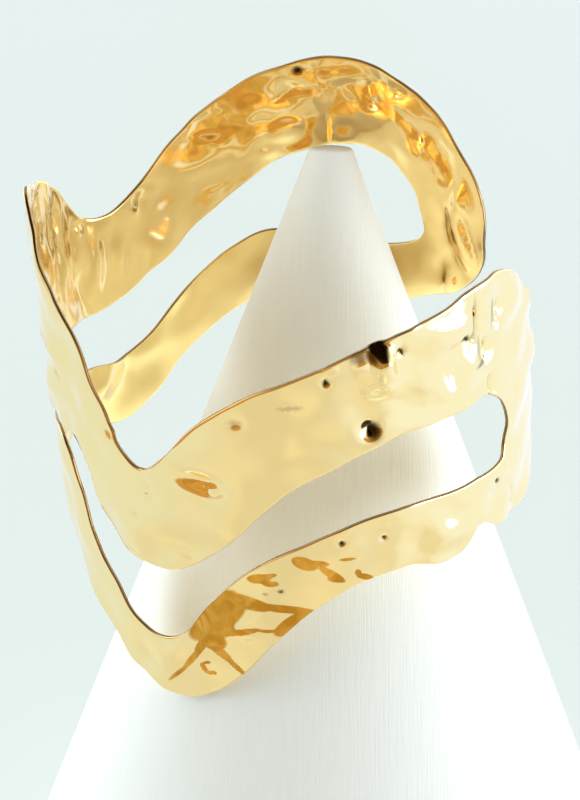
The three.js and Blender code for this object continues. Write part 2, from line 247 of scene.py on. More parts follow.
        ("paintedTableReflection", 0.7839, 0.369, 1.26, 0.30, -8, 0.80),
        ("paintedTableReflection", 0.7951, 0.316, 1.29, 0.46, -28, 1.00),
        ("paintedTableReflection", 0.7908, 0.327, 0.91, 0.42, -72, 1.00),
        ("pit", 0.7806, 0.408, 0.70, 0.70, 0, -0.40),
        ("stain", 0.7809, 0.406, 0.50, 0.45, 0, 1.00),
        ("pit", 0.8091, 0.399, 0.70, 0.70, 0, -0.40),
        ("stain", 0.8094, 0.398, 0.42, 0.42, 0, 1.00),
        ("ring", 0.7822, 0.428, 0.50, 0.20, 0, 0.06),
        ("ring", 0.8094, 0.425, 0.40, 0.35, 0, 0.07),
        ("stain", 0.7402, 0.304, 0.42, 0.30, 0, 0.90),
        ("stain", 0.7304, 0.296, 0.30, 0.25, 0, 0.60),
        ("pit", 0.9050, 0.408, 0.70, 0.70, 0, -0.42),
        ("stain", 0.9056, 0.405, 0.42, 0.45, 0, 1.00),
        ("bell", 0.8573, 0.384, 1.80, 1.50, 0, -0.17),
        ("bell", 0.8699, 0.414, 1.60, 1.20, 0, 0.30),
        ("crease", 0.8835, 0.330, 1.53, 0.50, 64, -0.30),
        ("crease", 0.9302, 0.329, 2.78, 0.50, -64, -0.30),
        ("bell", 0.6609, 0.112, 1.30, 1.50, 0, 0.40),
        ("bell", 0.6378, 0.071, 1.60, 2.00, 0, -0.35),
        ("bell", 0.8309, 0.370, 3.00, 1.60, 0, -0.20),
        # inner side of the back band
        ("tilt", 0.3006, 0.855, 2.84, 1.60, -10, 0.46),
        ("bell", 0.2920, 0.847, 1.00, 1.40, 0, 0.15),
        ("crease", 0.2910, 0.858, 2.67, 0.60, 67, -0.20),
        ("crease", 0.3041, 0.828, 2.59, 0.40, 21, -0.25),
        ("ring", 0.2941, 0.710, 1.00, 0.60, 0, -0.20),
        ("bell", 0.3588, 0.734, 0.90, 1.50, 0, 0.42),
        ("bell", 0.3419, 0.669, 1.20, 1.40, 0, 0.14),
        ("bell", 0.3821, 0.619, 1.00, 2.60, 0, -0.30),
        ("bell", 0.3584, 0.590, 1.20, 2.40, 0, 0.30),
        ("ring", 0.2483, 0.832, 2.60, 2.20, 0, 0.22),
        ("crumple", 0.2489, 0.832, 4.40, 3.40, 0, 0.14),
        ("crumple", 0.2358, 0.940, 6.50, 2.40, 0, 0.10),
        ("crumple", 0.1898, 0.918, 3.40, 2.80, 0, 0.12),
        ("crumple", 0.1488, 0.873, 5.00, 3.00, 0, 0.12),
        ("crumple", 0.1219, 0.758, 3.00, 5.00, 0, 0.14),
        ("bell", 0.2504, 0.828, 1.40, 1.20, 0, -0.30),
        ("bell", 0.2340, 0.854, 1.30, 1.50, 0, 0.30),
        ("bell", 0.2636, 0.863, 1.30, 1.20, 0, 0.30),
        ("bell", 0.2610, 0.788, 1.20, 0.90, 0, -0.40),
        ("pit", 0.2373, 0.971, 0.80, 0.80, 0, 0.50),
        ("stain", 0.2373, 0.969, 0.90, 0.70, 0, 1.00),
        ("crease", 0.2449, 0.916, 1.97, 0.60, -30, 0.40),
        ("crease", 0.2312, 0.939, 3.33, 0.60, 24, -0.35),
        ("crease", 0.2248, 0.940, 2.74, 0.50, 76, 0.35),
        ("crease", 0.2194, 0.829, 1.98, 0.40, 87, 0.50),
        ("crease", 0.2151, 0.830, 1.71, 0.40, -80, -0.40),
        ("bell", 0.1903, 0.934, 1.10, 1.00, 0, 0.50),
        ("bell", 0.1864, 0.899, 0.90, 0.80, 0, 0.45),
        ("ring", 0.1897, 0.925, 1.50, 1.70, 0, -0.15),
        ("bell", 0.1640, 0.937, 1.30, 0.90, 0, 0.45),
        ("bell", 0.2042, 0.959, 2.00, 1.00, 0, -0.40),
        ("bell", 0.2093, 0.861, 2.40, 1.80, 0, -0.35),
        ("crease", 0.1559, 0.870, 2.71, 0.80, 46, 0.50),
        ("crease", 0.1366, 0.807, 3.03, 0.80, 56, -0.50),
        ("bell", 0.1576, 0.810, 1.60, 1.40, 0, -0.40),
        ("bell", 0.1358, 0.826, 1.20, 2.20, 0, 0.50),
        ("bell", 0.1145, 0.731, 1.00, 1.60, 0, -0.50),
        ("bell", 0.1291, 0.682, 1.20, 2.20, 0, 0.45),
        ("crease", 0.1057, 0.652, 3.45, 0.60, 69, 0.50),
        ("bell", 0.1239, 0.527, 1.00, 1.40, 0, -0.55),
        ("bell", 0.1348, 0.550, 1.20, 1.80, 0, 0.50),
        ("bell", 0.1523, 0.549, 1.60, 2.20, 0, -0.35),
        ("tilt", 0.1307, 0.787, 3.05, 1.50, 66, 0.60),
        ("tilt", 0.1192, 0.617, 3.21, 1.30, 79, -0.60),
        ("tilt", 0.2062, 0.828, 1.56, 0.90, -13, 0.36),
        ("bell", 0.2746, 0.896, 2.20, 1.80, 0, -0.18),
        ("bell", 0.3135, 0.779, 3.40, 2.40, 0, -0.35),
        ("bell", 0.3325, 0.736, 2.60, 2.40, 0, 0.25),
        # inner side of the left peak
        ("crease", 0.4813, 0.862, 3.95, 0.70, -77, 0.55),
        ("crease", 0.4633, 0.825, 5.30, 0.60, -83, -0.60),
        ("crease", 0.4528, 0.760, 6.51, 0.60, -85, 0.60),
        ("crease", 0.4445, 0.722, 6.36, 0.60, -84, -0.50),
        ("crease", 0.4323, 0.685, 5.38, 0.70, -86, 0.45),
        ("crease", 0.4434, 0.695, 5.24, 0.60, 70, -0.40),
        ("bell", 0.4212, 0.744, 0.80, 0.80, 0, -0.45),
        ("bell", 0.4066, 0.652, 0.90, 4.20, 0, -0.50),
        ("bell", 0.4228, 0.609, 1.40, 2.40, 0, 0.45),
        ("bell", 0.3909, 0.683, 1.60, 2.00, 0, 0.35),
        # inner side of the lower back band
        ("bell", 0.3635, 0.390, 3.50, 2.00, 0, -0.35),
        ("bell", 0.3273, 0.451, 3.00, 2.00, 0, 0.35),
        ("bell", 0.2906, 0.531, 3.00, 2.20, 0, -0.35),
        ("bell", 0.4150, 0.376, 2.20, 2.00, 0, -0.50),
        ("bell", 0.3895, 0.357, 1.60, 2.00, 0, 0.35),
        ("bell", 0.3068, 0.485, 2.00, 1.60, 0, -0.25),
        ("bell", 0.1606, 0.543, 2.20, 2.40, 0, 0.40),
    ],
}

sizes = {name: np.array(cuff[name], float) for name in ("freeStart", "freeFinish", "slotStart", "slotFinish")}
halfWidth, halfDepth = cuff["width"] / 2, cuff["depth"] / 2
sectionRows = np.array(cuff["sections"], float)


def lengthTo(turn):
    # millimetres along the oval from turn 0: the sum of sqrt((a sin)^2 + (b cos)^2) over the angle
    angle = np.linspace(0, 2 * np.pi, 4001)
    speed = np.hypot(halfWidth * np.sin(angle), halfDepth * np.cos(angle))
    total = np.concatenate([[0], np.cumsum((speed[1:] + speed[:-1]) / 2 * np.diff(angle))])
    return np.interp(turn, angle / (2 * np.pi), total)


def turnTo(length):
    # the turn at a length along the oval, lengthTo read backwards
    turns = np.linspace(0, 1, 4001)
    return np.interp(length, lengthTo(turns), turns)


def sectionCurve(turn, column):
    # cubic through the section rows, with slopes (y[i+1] - y[i-1]) / (x[i+1] - x[i-1])
    x, y = sectionRows[:, 0], sectionRows[:, column]
    t = np.clip(turn, x[0], x[-1])
    slope = np.empty_like(y)
    slope[1:-1] = (y[2:] - y[:-2]) / (x[2:] - x[:-2])
    slope[0], slope[-1] = (y[1] - y[0]) / (x[1] - x[0]), (y[-1] - y[-2]) / (x[-1] - x[-2])
    i = np.clip(np.searchsorted(x, t, side="right") - 1, 0, len(x) - 2)
    span = x[i + 1] - x[i]
    s = (t - x[i]) / span
    r = 1 - s
    near = y[i] * (1 + 2 * s) * r * r + slope[i] * span * s * r * r
    return near + y[i + 1] * s * s * (3 - 2 * s) - slope[i + 1] * span * s * s * r


def pinched(turn, height, start, finish, side, usual):
    # nose + (height - nose) * sqrt(1 - (1 - distance / rounding)^2), so that an end closes as an arc
    first = turn < 0.5
    end = np.where(first, start[0], finish[0])
    nose = np.where(first, start[1], finish[1])
    reach = np.where(first, start[side], finish[side]) * usual
    away = np.abs(lengthTo(turn) - lengthTo(end))
    s = np.clip(1 - away / reach, 0, 1)
    return nose + (height - nose) * np.sqrt(1 - s * s)


def edgeHeights(turn):
    # heights of the four edges at each turn, and whether the slot is open there
    free = (sizes["freeStart"], sizes["freeFinish"])
    slot = (sizes["slotStart"], sizes["slotFinish"])
    isOpen = (turn > slot[0][0] + 1e-9) & (turn < slot[1][0] - 1e-9)
    slotEnd = np.where(turn < 0.5, slot[0][0], slot[1][0])
    slotNose = np.where(turn < 0.5, slot[0][1], slot[1][1])
    freeEnd = np.where(turn < 0.5, free[0][0], free[1][0])
    freeNose = np.where(turn < 0.5, free[0][1], free[1][1])
    s = np.clip((turn - slotEnd) / (freeEnd - slotEnd), 0, 1)
    seam = slotNose + (freeNose - slotNose) * s
    upperTop = pinched(turn, sectionCurve(turn, 1), *free, 2, cuff["endRound"])
    upperBottom = pinched(turn, sectionCurve(turn, 2), *slot, 2, cuff["slotRound"])
    lowerTop = pinched(turn, sectionCurve(turn, 3), *slot, 3, cuff["slotRound"])
    lowerBottom = pinched(turn, sectionCurve(turn, 4), *free, 3, cuff["endRound"])
    return upperTop, np.where(isOpen, upperBottom, seam), np.where(isOpen, lowerTop, seam), lowerBottom, isOpen


def softWaves(along, up, lengths, seed, count=26):
    # mean of cosines of k.x + phase, with wave lengths between the two given and any heading
    rng = np.random.default_rng(seed)
    wave = rng.uniform(lengths[0], lengths[1], count)
    heading = rng.uniform(0, 2 * np.pi, count)
    phase = rng.uniform(0, 2 * np.pi, count)
    total = np.zeros_like(along)
    for k, h, p in zip(2 * np.pi / wave, heading, phase):
        total += np.cos(k * (along * np.cos(h) + up * np.sin(h)) + p)
    return total / math.sqrt(count / 2)


def hammered(turn, height):
    # how far the sheet's middle stands out from the plain oval, in mm
    along = lengthTo(turn)
    up = height * cuff["height"]
    calm = np.array(cuff["calm"])
    waves = cuff["waveDepth"] * np.interp(turn, calm[:, 0], calm[:, 1])
    ripples = cuff["rippleDepth"] * np.interp(turn, calm[:, 0], calm[:, 2])
    ripples = np.where((turn < 0.4) & (height < 0.6), ripples * cuff["lowerCalm"], ripples)
    out = waves * softWaves(along, up, cuff["waveLengths"], cuff["waveSeed"])
    out += ripples * softWaves(along, up, cuff["rippleLengths"], cuff["waveSeed"] + 1)
    swell = cuff["swellDepth"] * np.interp(turn, calm[:, 0], calm[:, 3])
    out += swell * softWaves(along, up, cuff["swellLengths"], cuff["waveSeed"] + 2, 14)
    for mark in cuff["marks"]:
        # painted dark reflection and painted table reflection only colour the sheet, they do not move it
        if mark[0] not in ("stain", "paintedTableReflection"):
            out += mark[-1] * markShape(mark[0], *withinMark(along, up, mark))
    return out


def withinMark(along, up, mark):
    # the two distances from a mark's middle, along it and across it, in its half sizes
    kind, markTurn, markHeight, length, width, angle, depth = mark
    a = along - lengthTo(markTurn)
    c = up - markHeight * cuff["height"]
    turned = math.radians(angle)
    p = (a * math.cos(turned) + c * math.sin(turned)) / length
    q = (c * math.cos(turned) - a * math.sin(turned)) / width
    return p, q


def covered(turn, height, kind):
    # 1 where the sheet is covered by the painted kind asked for, painted dark reflection or painted table
    # reflection: the strongest exp(-r^6) of the marks of that kind
    amount = np.zeros_like(turn)
    for mark in cuff["marks"]:
        if mark[0] == kind:
            p, q = withinMark(lengthTo(turn), height * cuff["height"], mark)
            amount = np.maximum(amount, mark[-1] * np.exp(-(p * p + q * q) ** 3))
    return amount


def markShape(kind, p, q):
    # p runs along the mark and q across it, upwards; both are 1 at its half size; r^2 = p^2 + q^2
    r2 = p * p + q * q
    if kind == "bell":  # exp(-r^2)
        return np.exp(-r2)
    if kind == "pit":  # 1 - r, rounded where it meets the sheet and at its point
        return np.log1p(np.exp(np.minimum(8 * (1 - np.sqrt(r2 + 0.03)), 50))) / 8
    if kind == "ring":  # ring-shaped groove
        return np.exp(-((np.sqrt(r2) - 1) / 0.35) ** 2)
    if kind == "crease":  # sharp line that fades at its ends
        return np.exp(-np.abs(q)) * np.exp(-p ** 4)
    if kind in ("tilt", "slope"):  # q, an even slope from -1 to 1, that eases back outside it, soon or slowly
        past = np.maximum(np.abs(q) - 1, 0) / {"tilt": 1.5, "slope": 5}[kind]
        return np.clip(q, -1, 1) * np.exp(-past ** 2) * np.exp(-p ** 4)
    if kind == "crumple":  # four crossing cosines, exp(-r^4)
        waves = np.cos(4 * p + 2 * q) + np.cos(4 * q - 3 * p + 1) + np.cos(5 * q + p + 2) + np.cos(4.5 * p - 3 * q + 0.5)
        return waves / 2 * np.exp(-r2 ** 2)
    raise ValueError(kind)


def cuffAxes():
    # the leaning cuff's own side, back and up directions
    lean, side = math.radians(cuff["forwardLean"]), math.radians(cuff["sideLean"])
    up = np.array([-math.sin(side), -math.cos(side) * math.sin(lean), math.cos(side) * math.cos(lean)])
    across = np.array([1.0, 0, 0]) - up * up[0]
    across /= np.linalg.norm(across)
    return across, np.cross(up, across), up


def ovalPoint(turn, height):
    # (a cos, b sin) round the leaning axis, pushed out along the oval's normal by the hammering
    across, back, up = cuffAxes()
    angle = 2 * np.pi * turn
    out = np.stack([np.cos(angle) / halfWidth, np.sin(angle) / halfDepth], -1)
    out /= np.linalg.norm(out, axis=-1, keepdims=True)
    push = hammered(turn, height)
    sideways = halfWidth * np.cos(angle) + out[..., 0] * push - cuff["toLeft"] * cuff["width"]
    backways = halfDepth * np.sin(angle) + out[..., 1] * push - cuff["toFront"] * cuff["depth"]
    upways = (height - cuff["below"]) * cuff["height"]
    start = np.array([0, 0, cuff["apex"]])
    return start + sideways[..., None] * across + backways[..., None] * back + upways[..., None] * up


def unit(v):
    return v / np.maximum(np.linalg.norm(v, axis=-1, keepdims=True), 1e-12)


def columnTurns():
    # even steps along the oval, with columns that close up like 1 - cos towards each rounded end
    marks = []
    ends = (
        ("freeStart", 1, cuff["endRound"], 0.05),
        ("freeFinish", -1, cuff["endRound"] * 0.43, 0.08),
        ("slotStart", 1, cuff["slotRound"], 0),
        ("slotFinish", -1, cuff["slotRound"] * 0.93, 0),
    )
    for name, way, reach, first in ends:
        arc = np.linspace(first, 1, cuff["endColumns"]) * np.pi / 2
        marks.append(lengthTo(sizes[name][0]) + way * reach * (1 - np.cos(arc)))
    knots = np.unique(np.round(np.concatenate(marks), 6))
    knots = np.unique(np.append(knots, lengthTo(cuff["frontFrom"])))
    step = np.where(knots[:-1] >= lengthTo(cuff["frontFrom"]), cuff["frontStep"], cuff["backStep"])
    cuts = np.maximum(1, np.round(np.diff(knots) / step)).astype(int)
    parts = [np.linspace(p, q, n + 1)[:-1] for p, q, n in zip(knots[:-1], knots[1:], cuts)]
    turns = turnTo(np.concatenate([*parts, knots[-1:]]))
    for name in ("slotStart", "slotFinish"):
        turns[np.argmin(np.abs(turns - sizes[name][0]))] = sizes[name][0]
    return turns


def meshObject(name, points, faces, smooth=True):
    mesh = bpy.data.meshes.new(name)
    mesh.from_pydata(points.tolist(), [], [f.tolist() for f in faces])
    mesh.polygons.foreach_set("use_smooth", np.full(len(mesh.polygons), smooth))
    mesh.update()
    made = bpy.data.objects.new(name, mesh)
    bpy.context.scene.collection.objects.link(made)
    return made


def buildCuff():
    # both bands as one grid of (turn, height), given a thickness and a rounded edge
    turns = columnTurns()
    upperTop, upperBottom, lowerTop, lowerBottom, isOpen = edgeHeights(turns)
    rows = cuff["bandRows"]
    share = np.linspace(0, 1, rows + 1)
    upper = upperTop[:, None] + (upperBottom - upperTop)[:, None] * share
    lower = lowerTop[:, None] + (lowerBottom - lowerTop)[:, None] * share
    count = len(turns)
    heights = np.concatenate([upper, lower], 1)
    grid = np.broadcast_to(turns[:, None], heights.shape)
    index = np.arange(heights.size).reshape(heights.shape)
    index[~isOpen, rows + 1] = index[~isOpen, rows]  # beyond the slot the bands share a row
    middle = ovalPoint(grid, heights).reshape(-1, 3)
    step = 0.0004
    ahead = ovalPoint(grid + step, heights) - ovalPoint(grid - step, heights)
    above = ovalPoint(grid, heights + 0.002) - ovalPoint(grid, heights - 0.002)
    facing = unit(np.cross(ahead, above)).reshape(-1, 3)

    bands = [index[:, : rows + 1], index[:, rows + 1 :]]
    quads = np.concatenate([
        np.stack([g[:-1, :-1], g[:-1, 1:], g[1:, 1:], g[1:, :-1]], -1).reshape(-1, 4) for g in bands
    ])
    top, bottom = bands[0], bands[1]
    outline = np.concatenate([
        top[:, 0], top[-1, 1:], bottom[-1, 1:], bottom[-2::-1, rows], bottom[0, rows - 1 :: -1], top[0, rows - 1 : 0 : -1]
    ])
    shut = np.flatnonzero(~isOpen)
    firstShut, lastShut = shut[turns[shut] < 0.5].max(), shut[turns[shut] > 0.5].min()
    slot = np.concatenate([top[firstShut : lastShut + 1, rows], bottom[lastShut - 1 : firstShut : -1, 0]])

    half = cuff["sheet"] / 2
    outer, inner = middle + facing * half, middle - facing * half
    size = len(middle)
    points, faces = [outer, inner], [quads, quads[:, ::-1] + size]
    for loop, way in ((outline, 1), (slot, -1)):
        along = np.roll(middle[loop], -1, 0) - np.roll(middle[loop], 1, 0)
        away = unit(np.cross(facing[loop], along)) * way
        rings = [loop]
        for k in range(1, cuff["rimSteps"] + 1):
            swing = np.pi * k / (cuff["rimSteps"] + 1)
            start = sum(len(p) for p in points)
            points.append(middle[loop] + half * (facing[loop] * np.cos(swing) + 0.4 * away * np.sin(swing)))
            rings.append(np.arange(start, start + len(loop)))
        rings.append(loop + size)
        for a, b in zip(rings[:-1], rings[1:]):
            strip = np.stack([a, np.roll(a, -1), np.roll(b, -1), b], -1)
            faces.append(strip if way > 0 else strip[:, ::-1])
    points, faces = np.concatenate(points) * mm, np.concatenate(faces)
    used = np.unique(faces)
    remap = np.full(len(points), -1)
    remap[used] = np.arange(len(used))
    made = meshObject("hammeredCuff", points[used], remap[faces])
    # the rounded edge is marked for its painted dark reflection, the inner face for its tint and roughness
    rim, inside = np.zeros(len(points), np.float32), np.zeros(len(points), np.float32)
    rim[2 * size :], inside[size : 2 * size] = 1, 1
    # painted dark reflection on both faces, painted orange table reflection on the outer face only
    paintedDarkReflection, paintedTableReflection = np.zeros(len(points), np.float32), np.zeros(len(points), np.float32)
    paintedDarkReflection[: 2 * size] = np.tile(covered(grid, heights, "stain").ravel(), 2)
    paintedTableReflection[:size] = covered(grid, heights, "paintedTableReflection").ravel()
    for name, values in (("rim", rim), ("inside", inside), ("paintedDarkReflection", paintedDarkReflection), ("paintedTableReflection", paintedTableReflection)):
        made.data.attributes.new(name, "FLOAT", "POINT").data.foreach_set("value", values[used])
    print("cuff", len(used), "points", len(faces), "faces")
    return made


# the cone it hangs on
cone = {
    "halfAngle": 21.2,  # degrees
    "apex": 130.0,  # mm, where the straight sides would meet
    "tipDrop": 7.3,
    "tipRadius": 0.5,
    "footRound": 0.8,
    "sides": 240,
    "slantRows": 90,
    "tipRows": 10,
}


def buildCone():
    # a profile (radius, height) carried round the axis, closed by a point at the foot and one at the tip
    slope = math.tan(math.radians(cone["halfAngle"]))
    foot = (cone["apex"] - cone["footRound"]) * slope
    top = cone["apex"] - cone["tipDrop"]
    centre = top - cone["tipRadius"]
    shoulder = (cone["apex"] - centre) * slope - cone["tipRadius"] / math.cos(math.radians(cone["halfAngle"]))
    swing = np.radians(np.linspace(cone["halfAngle"], 90, cone["tipRows"]))
    tip = np.stack([shoulder + cone["tipRadius"] * np.cos(swing), centre + cone["tipRadius"] * np.sin(swing)], -1)
    lift = np.radians(np.linspace(-90, cone["halfAngle"], 6))
    footCentre = foot - cone["footRound"] / math.cos(math.radians(cone["halfAngle"]))
    hem = np.stack([footCentre + cone["footRound"] * np.cos(lift), cone["footRound"] * (1 + np.sin(lift))], -1)
    side = hem[-1] + (tip[0] - hem[-1]) * np.linspace(0, 1, cone["slantRows"])[1:-1, None]
    profile = np.concatenate([hem, side, tip])
    angle = np.linspace(0, 2 * np.pi, cone["sides"], endpoint=False)
    ring = np.stack([np.cos(angle), np.sin(angle)], -1)
    body = np.concatenate([
        (profile[:, None, :1] * ring[None]),
        np.broadcast_to(profile[:, None, 1:], (len(profile), len(angle), 1)),
    ], -1).reshape(-1, 3)
    index = np.arange(len(body)).reshape(len(profile), -1)
    after = np.roll(index, -1, 1)
    quads = np.stack([index[:-1], after[:-1], after[1:], index[1:]], -1).reshape(-1, 4)
    points = np.concatenate([body, [[0, 0, 0], [0, 0, top]]]) * mm
    low = np.stack([np.full(len(angle), len(body)), after[0], index[0]], -1)
    high = np.stack([index[-1], after[-1], np.full(len(angle), len(body) + 1)], -1)
    made = meshObject("coneCover", points, [*quads, *low, *high])
    print("cone", len(points), "points")
    return made


# materials
def newMaterial(name):
    material = bpy.data.materials.new(name)
    material.use_nodes = True
    nodes = material.node_tree.nodes
    return material, nodes, material.node_tree.links, nodes["Principled BSDF"]


gold = {
    "outer": (1.0, 0.80, 0.40),  # linear
    "deep": (0.98, 0.77, 0.35),
    "insideTint": (1.0, 0.93, 0.80),  # the inner side's colour is the outer one times this
    # dark painted reflection along the sheet's rounded edge
    "rim": (0.24, 0.17, 0.09),
    # near-black painted dark reflection, in pits, along creases and in the notch
    "paintedDarkReflection": (0.035, 0.022, 0.010),
    "paintedTableReflection": (0.58, 0.25, 0.022),  # painted orange reflection of a brown table, beside the folds
    "paintedTableReflectionLight": (0.82, 0.42, 0.065),
    "roughness": 0.06,
    "insideRoughness": 0.08,  # added on the inner side
}


def goldMaterial():
    material, nodes, links, shader = newMaterial("hammeredGold")
    shader.inputs["Metallic"].default_value = 1
    where = nodes.new("ShaderNodeTexCoord")
    cloud = nodes.new("ShaderNodeTexNoise")
    cloud.inputs["Scale"].default_value = 120
    cloud.inputs["Detail"].default_value = 3
    links.new(where.outputs["Object"], cloud.inputs["Vector"])
    tone = nodes.new("ShaderNodeMix")
    tone.data_type = "RGBA"
    tone.inputs["A"].default_value = (*gold["outer"], 1)
    tone.inputs["B"].default_value = (*gold["deep"], 1)
    links.new(cloud.outputs["Fac"], tone.inputs["Factor"])
    # dark painted reflection along the sheet's rounded edge
    edge = nodes.new("ShaderNodeAttribute")
    edge.attribute_name = "rim"
    withEdgeReflection = nodes.new("ShaderNodeMix")
    withEdgeReflection.data_type = "RGBA"
    withEdgeReflection.inputs["B"].default_value = (*gold["rim"], 1)
    links.new(edge.outputs["Fac"], withEdgeReflection.inputs["Factor"])
    within = nodes.new("ShaderNodeAttribute")
    within.attribute_name = "inside"
    tinted = nodes.new("ShaderNodeMix")
    tinted.data_type, tinted.blend_type = "RGBA", "MULTIPLY"
    tinted.inputs["B"].default_value = (*gold["insideTint"], 1)
    links.new(within.outputs["Fac"], tinted.inputs["Factor"])
    links.new(tone.outputs["Result"], tinted.inputs["A"])
    # painted orange reflection of a brown table on the lower front band, broken up by noise
    tableReflectionMask = nodes.new("ShaderNodeAttribute")
    tableReflectionMask.attribute_name = "paintedTableReflection"
    withTableReflection = nodes.new("ShaderNodeMix")
    withTableReflection.data_type = "RGBA"
    tableReflectionColour = nodes.new("ShaderNodeMix")
    tableReflectionColour.data_type = "RGBA"
    tableReflectionColour.inputs["A"].default_value = (*gold["paintedTableReflection"], 1)
    tableReflectionColour.inputs["B"].default_value = (*gold["paintedTableReflectionLight"], 1)
    wisp = nodes.new("ShaderNodeTexNoise")
    wisp.inputs["Scale"].default_value = 260
    wisp.inputs["Detail"].default_value = 4
    wisp.inputs["Distortion"].default_value = 1.5
    links.new(where.outputs["Object"], wisp.inputs["Vector"])
    spread = nodes.new("ShaderNodeMapRange")
    spread.inputs["From Min"].default_value = 0.38
    spread.inputs["From Max"].default_value = 0.68
    links.new(wisp.outputs["Fac"], spread.inputs["Value"])
    links.new(spread.outputs["Result"], tableReflectionColour.inputs["Factor"])
    links.new(tableReflectionColour.outputs["Result"], withTableReflection.inputs["B"])
    crisp = nodes.new("ShaderNodeMapRange")
    crisp.inputs["From Min"].default_value = 0.35
    crisp.inputs["From Max"].default_value = 0.65
    links.new(tableReflectionMask.outputs["Fac"], crisp.inputs["Value"])
    links.new(crisp.outputs["Result"], withTableReflection.inputs["Factor"])
    links.new(tinted.outputs["Result"], withTableReflection.inputs["A"])
    # near-black painted dark reflection over pits, creases and the notch
    darkReflectionMask = nodes.new("ShaderNodeAttribute")
    darkReflectionMask.attribute_name = "paintedDarkReflection"
    withDarkReflection = nodes.new("ShaderNodeMix")
    withDarkReflection.data_type = "RGBA"
    withDarkReflection.inputs["B"].default_value = (*gold["paintedDarkReflection"], 1)
    links.new(darkReflectionMask.outputs["Fac"], withDarkReflection.inputs["Factor"])
    links.new(withTableReflection.outputs["Result"], withDarkReflection.inputs["A"])
    links.new(withDarkReflection.outputs["Result"], withEdgeReflection.inputs["A"])
    links.new(withEdgeReflection.outputs["Result"], shader.inputs["Base Color"])
    rough = nodes.new("ShaderNodeMapRange")
    rough.inputs["To Min"].default_value = gold["roughness"] - 0.03
    rough.inputs["To Max"].default_value = gold["roughness"] + 0.05
    links.new(cloud.outputs["Fac"], rough.inputs["Value"])
    total = nodes.new("ShaderNodeMath")
    total.operation = "MULTIPLY_ADD"
    total.inputs[1].default_value = gold["insideRoughness"]
    links.new(within.outputs["Fac"], total.inputs[0])
    links.new(rough.outputs["Result"], total.inputs[2])
    links.new(total.outputs["Value"], shader.inputs["Roughness"])
    return material


cover = {
    "threadLight": (0.89, 0.93, 0.93),
    "threadDark": (0.85, 0.89, 0.885),
    "threadScale": 3800,
    "threadStretch": 0.03,
    "roughness": 0.75,
}


def coverMaterial():
    material, nodes, links, shader = newMaterial("whiteCover")
    axes = nodes.new("ShaderNodeSeparateXYZ")
    links.new(nodes.new("ShaderNodeTexCoord").outputs["Object"], axes.inputs["Vector"])

    def maths(operation, *values):
        node = nodes.new("ShaderNodeMath")
        node.operation = operation
        for socket, value in zip(node.inputs, values):
            if isinstance(value, (int, float)):
                socket.default_value = value
            else:
                links.new(value, socket)
        return node.outputs["Value"]

    # where a point lies in the flat sheet the cone is rolled from: slant (sin, cos) of angle sin(half angle)
    x, y, z = (axes.outputs[name] for name in "XYZ")
    below = maths("SUBTRACT", cone["apex"] * mm, z)
    squares = maths("ADD", maths("MULTIPLY", x, x), maths("MULTIPLY", y, y))
    slant = maths("SQRT", maths("ADD", squares, maths("MULTIPLY", below, below)))
    turned = maths("ARCTAN2", x, maths("MULTIPLY", y, -1))
    swung = maths("MULTIPLY", turned, math.sin(math.radians(cone["halfAngle"])))
    flat = nodes.new("ShaderNodeCombineXYZ")
    links.new(maths("MULTIPLY", slant, maths("SINE", swung)), flat.inputs["X"])
    along = maths("MULTIPLY", slant, maths("COSINE", swung))
    links.new(maths("MULTIPLY", along, cover["threadStretch"]), flat.inputs["Y"])
    thread = nodes.new("ShaderNodeTexNoise")
    thread.inputs["Scale"].default_value = cover["threadScale"]
    thread.inputs["Detail"].default_value = 3
    thread.inputs["Roughness"].default_value = 0.7
    links.new(flat.outputs["Vector"], thread.inputs["Vector"])
    bump = nodes.new("ShaderNodeBump")
    bump.inputs["Strength"].default_value = 0.35
    bump.inputs["Distance"].default_value = 0.0002
    links.new(thread.outputs["Fac"], bump.inputs["Height"])
    links.new(bump.outputs["Normal"], shader.inputs["Normal"])
    tone = nodes.new("ShaderNodeMapRange")
    for name, value in zip(("From Min", "From Max"), (0.3, 0.7)):
        tone.inputs[name].default_value = value
    links.new(thread.outputs["Fac"], tone.inputs["Value"])
    colour = nodes.new("ShaderNodeMix")
    colour.data_type = "RGBA"
    colour.inputs["A"].default_value = (*cover["threadDark"], 1)
    colour.inputs["B"].default_value = (*cover["threadLight"], 1)
    links.new(tone.outputs["Result"], colour.inputs["Factor"])
    links.new(colour.outputs["Result"], shader.inputs["Base Color"])
    shader.inputs["Roughness"].default_value = cover["roughness"]
    return material


cuffPiece = buildCuff()
cuffPiece.data.materials.append(goldMaterial())
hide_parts("cuff")
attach(cuffPiece, "root")

conePiece = buildCone()
conePiece.data.materials.append(coverMaterial())
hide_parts("cone_stand")
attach(conePiece, "root")
print("pieces made")

